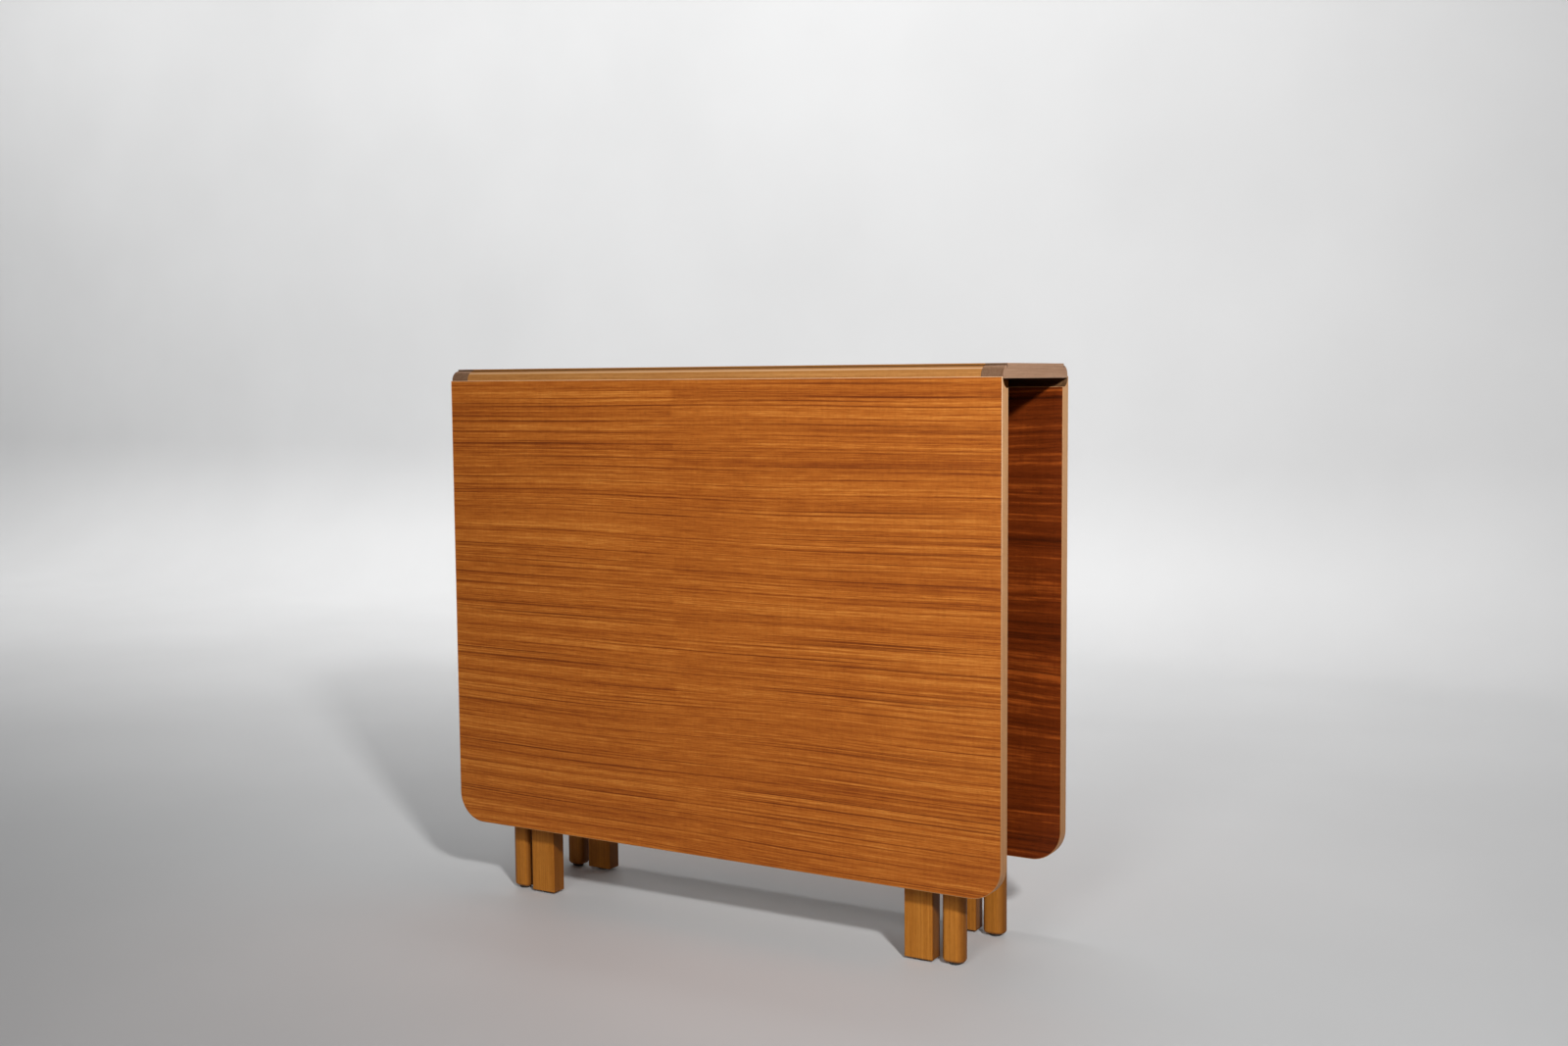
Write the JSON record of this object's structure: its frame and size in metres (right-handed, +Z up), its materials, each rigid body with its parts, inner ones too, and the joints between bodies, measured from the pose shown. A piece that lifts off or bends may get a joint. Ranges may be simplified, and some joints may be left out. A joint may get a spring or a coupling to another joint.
{
  "type": "drop leaf table",
  "caption": "Folded gate-leg dining table with a narrow fixed top, deep hanging leaves on rule joints, rounded fixed legs and swinging gate legs, in veneered wood with solid lippings",
  "frame": {"origin": "on the floor, under the middle of the table", "axes": "+X along the fixed top, +Y from the front leaf to the rear leaf, +Z up"},
  "size_m": [0.83, 0.212, 0.737],
  "materials": {
    "veneer_face": "satin lacquered teak-type veneer, ribbon grain along the table",
    "veneer_inner": "dark red-brown veneer, satin",
    "lipping": "pale tan solid lipping, satin",
    "end_cap": "solid cap, end grain, satin",
    "core_wood": "bare board core",
    "leg_wood": "golden brown solid wood, upright grain, satin",
    "rail_wood": "plain solid wood, thin lacquer",
    "stop_wood": "turned button, satin",
    "brass": "dull brass plate",
    "steel": "plain steel",
    "glide": "black plastic"
  },
  "bodies": {
    "frame": {"top_core": "core_wood", "top_veneer": "veneer_face", "top_lipping_front": "lipping", "top_lipping_rear": "lipping", "top_cap_left": "end_cap", "top_cap_right": "end_cap", "leg_front_left": "leg_wood", "leg_front_right": "leg_wood", "leg_rear_left": "leg_wood", "leg_rear_right": "leg_wood", "end_rails_left": "rail_wood", "end_rails_right": "rail_wood", "long_rails_upper": "rail_wood", "long_rails_lower": "rail_wood", "pivot_blocks_upper": "rail_wood", "pivot_blocks_lower": "rail_wood", "fixing_blocks": "rail_wood", "frame_screws": "steel", "frame_glides": "glide", "hinge_plates_fixed": "brass", "hinge_pins": "steel", "hinge_screws_fixed": "brass"},
    "leaf_front": {"leaf_front_core": "core_wood", "leaf_front_face": "veneer_face", "leaf_front_inner": "veneer_inner", "leaf_front_cove": "lipping", "leaf_front_edge": "lipping", "leaf_front_stops": "stop_wood", "leaf_front_hinges": "brass", "leaf_front_screws": "brass"},
    "leaf_rear": {"leaf_rear_core": "core_wood", "leaf_rear_face": "veneer_face", "leaf_rear_inner": "veneer_inner", "leaf_rear_cove": "lipping", "leaf_rear_edge": "lipping", "leaf_rear_stops": "stop_wood", "leaf_rear_hinges": "brass", "leaf_rear_screws": "brass"},
    "gate_front_left": {"gate_front_left_leg": "leg_wood", "gate_front_left_post": "leg_wood", "gate_front_left_rails": "leg_wood", "gate_front_left_pins": "steel", "gate_front_left_glide": "glide"},
    "gate_front_right": {"gate_front_right_leg": "leg_wood", "gate_front_right_post": "leg_wood", "gate_front_right_rails": "leg_wood", "gate_front_right_pins": "steel", "gate_front_right_glide": "glide"},
    "gate_rear_left": {"gate_rear_left_leg": "leg_wood", "gate_rear_left_post": "leg_wood", "gate_rear_left_rails": "leg_wood", "gate_rear_left_pins": "steel", "gate_rear_left_glide": "glide"},
    "gate_rear_right": {"gate_rear_right_leg": "leg_wood", "gate_rear_right_post": "leg_wood", "gate_rear_right_rails": "leg_wood", "gate_rear_right_pins": "steel", "gate_rear_right_glide": "glide"}
  },
  "joints": [
    {"name": "leaf_front_hinge", "type": "hinge", "parent": "frame", "child": "leaf_front", "pos_m": [0, -0.0905, 0.7215], "axis": [-1, 0, 0], "range_deg": [0, 90]},
    {"name": "leaf_rear_hinge", "type": "hinge", "parent": "frame", "child": "leaf_rear", "pos_m": [0, 0.0905, 0.7215], "axis": [1, 0, 0], "range_deg": [0, 90]},
    {"name": "gate_front_left_pivot", "type": "hinge", "parent": "frame", "child": "gate_front_left", "pos_m": [-0.022, -0.06575, 0.4], "axis": [0, 0, 1], "range_deg": [0, 2]},
    {"name": "gate_front_right_pivot", "type": "hinge", "parent": "frame", "child": "gate_front_right", "pos_m": [0.022, -0.06575, 0.4], "axis": [0, 0, -1], "range_deg": [0, 2]},
    {"name": "gate_rear_left_pivot", "type": "hinge", "parent": "frame", "child": "gate_rear_left", "pos_m": [-0.022, 0.06575, 0.4], "axis": [0, 0, -1], "range_deg": [0, 2]},
    {"name": "gate_rear_right_pivot", "type": "hinge", "parent": "frame", "child": "gate_rear_right", "pos_m": [0.022, 0.06575, 0.4], "axis": [0, 0, 1], "range_deg": [0, 2]}
  ]
}
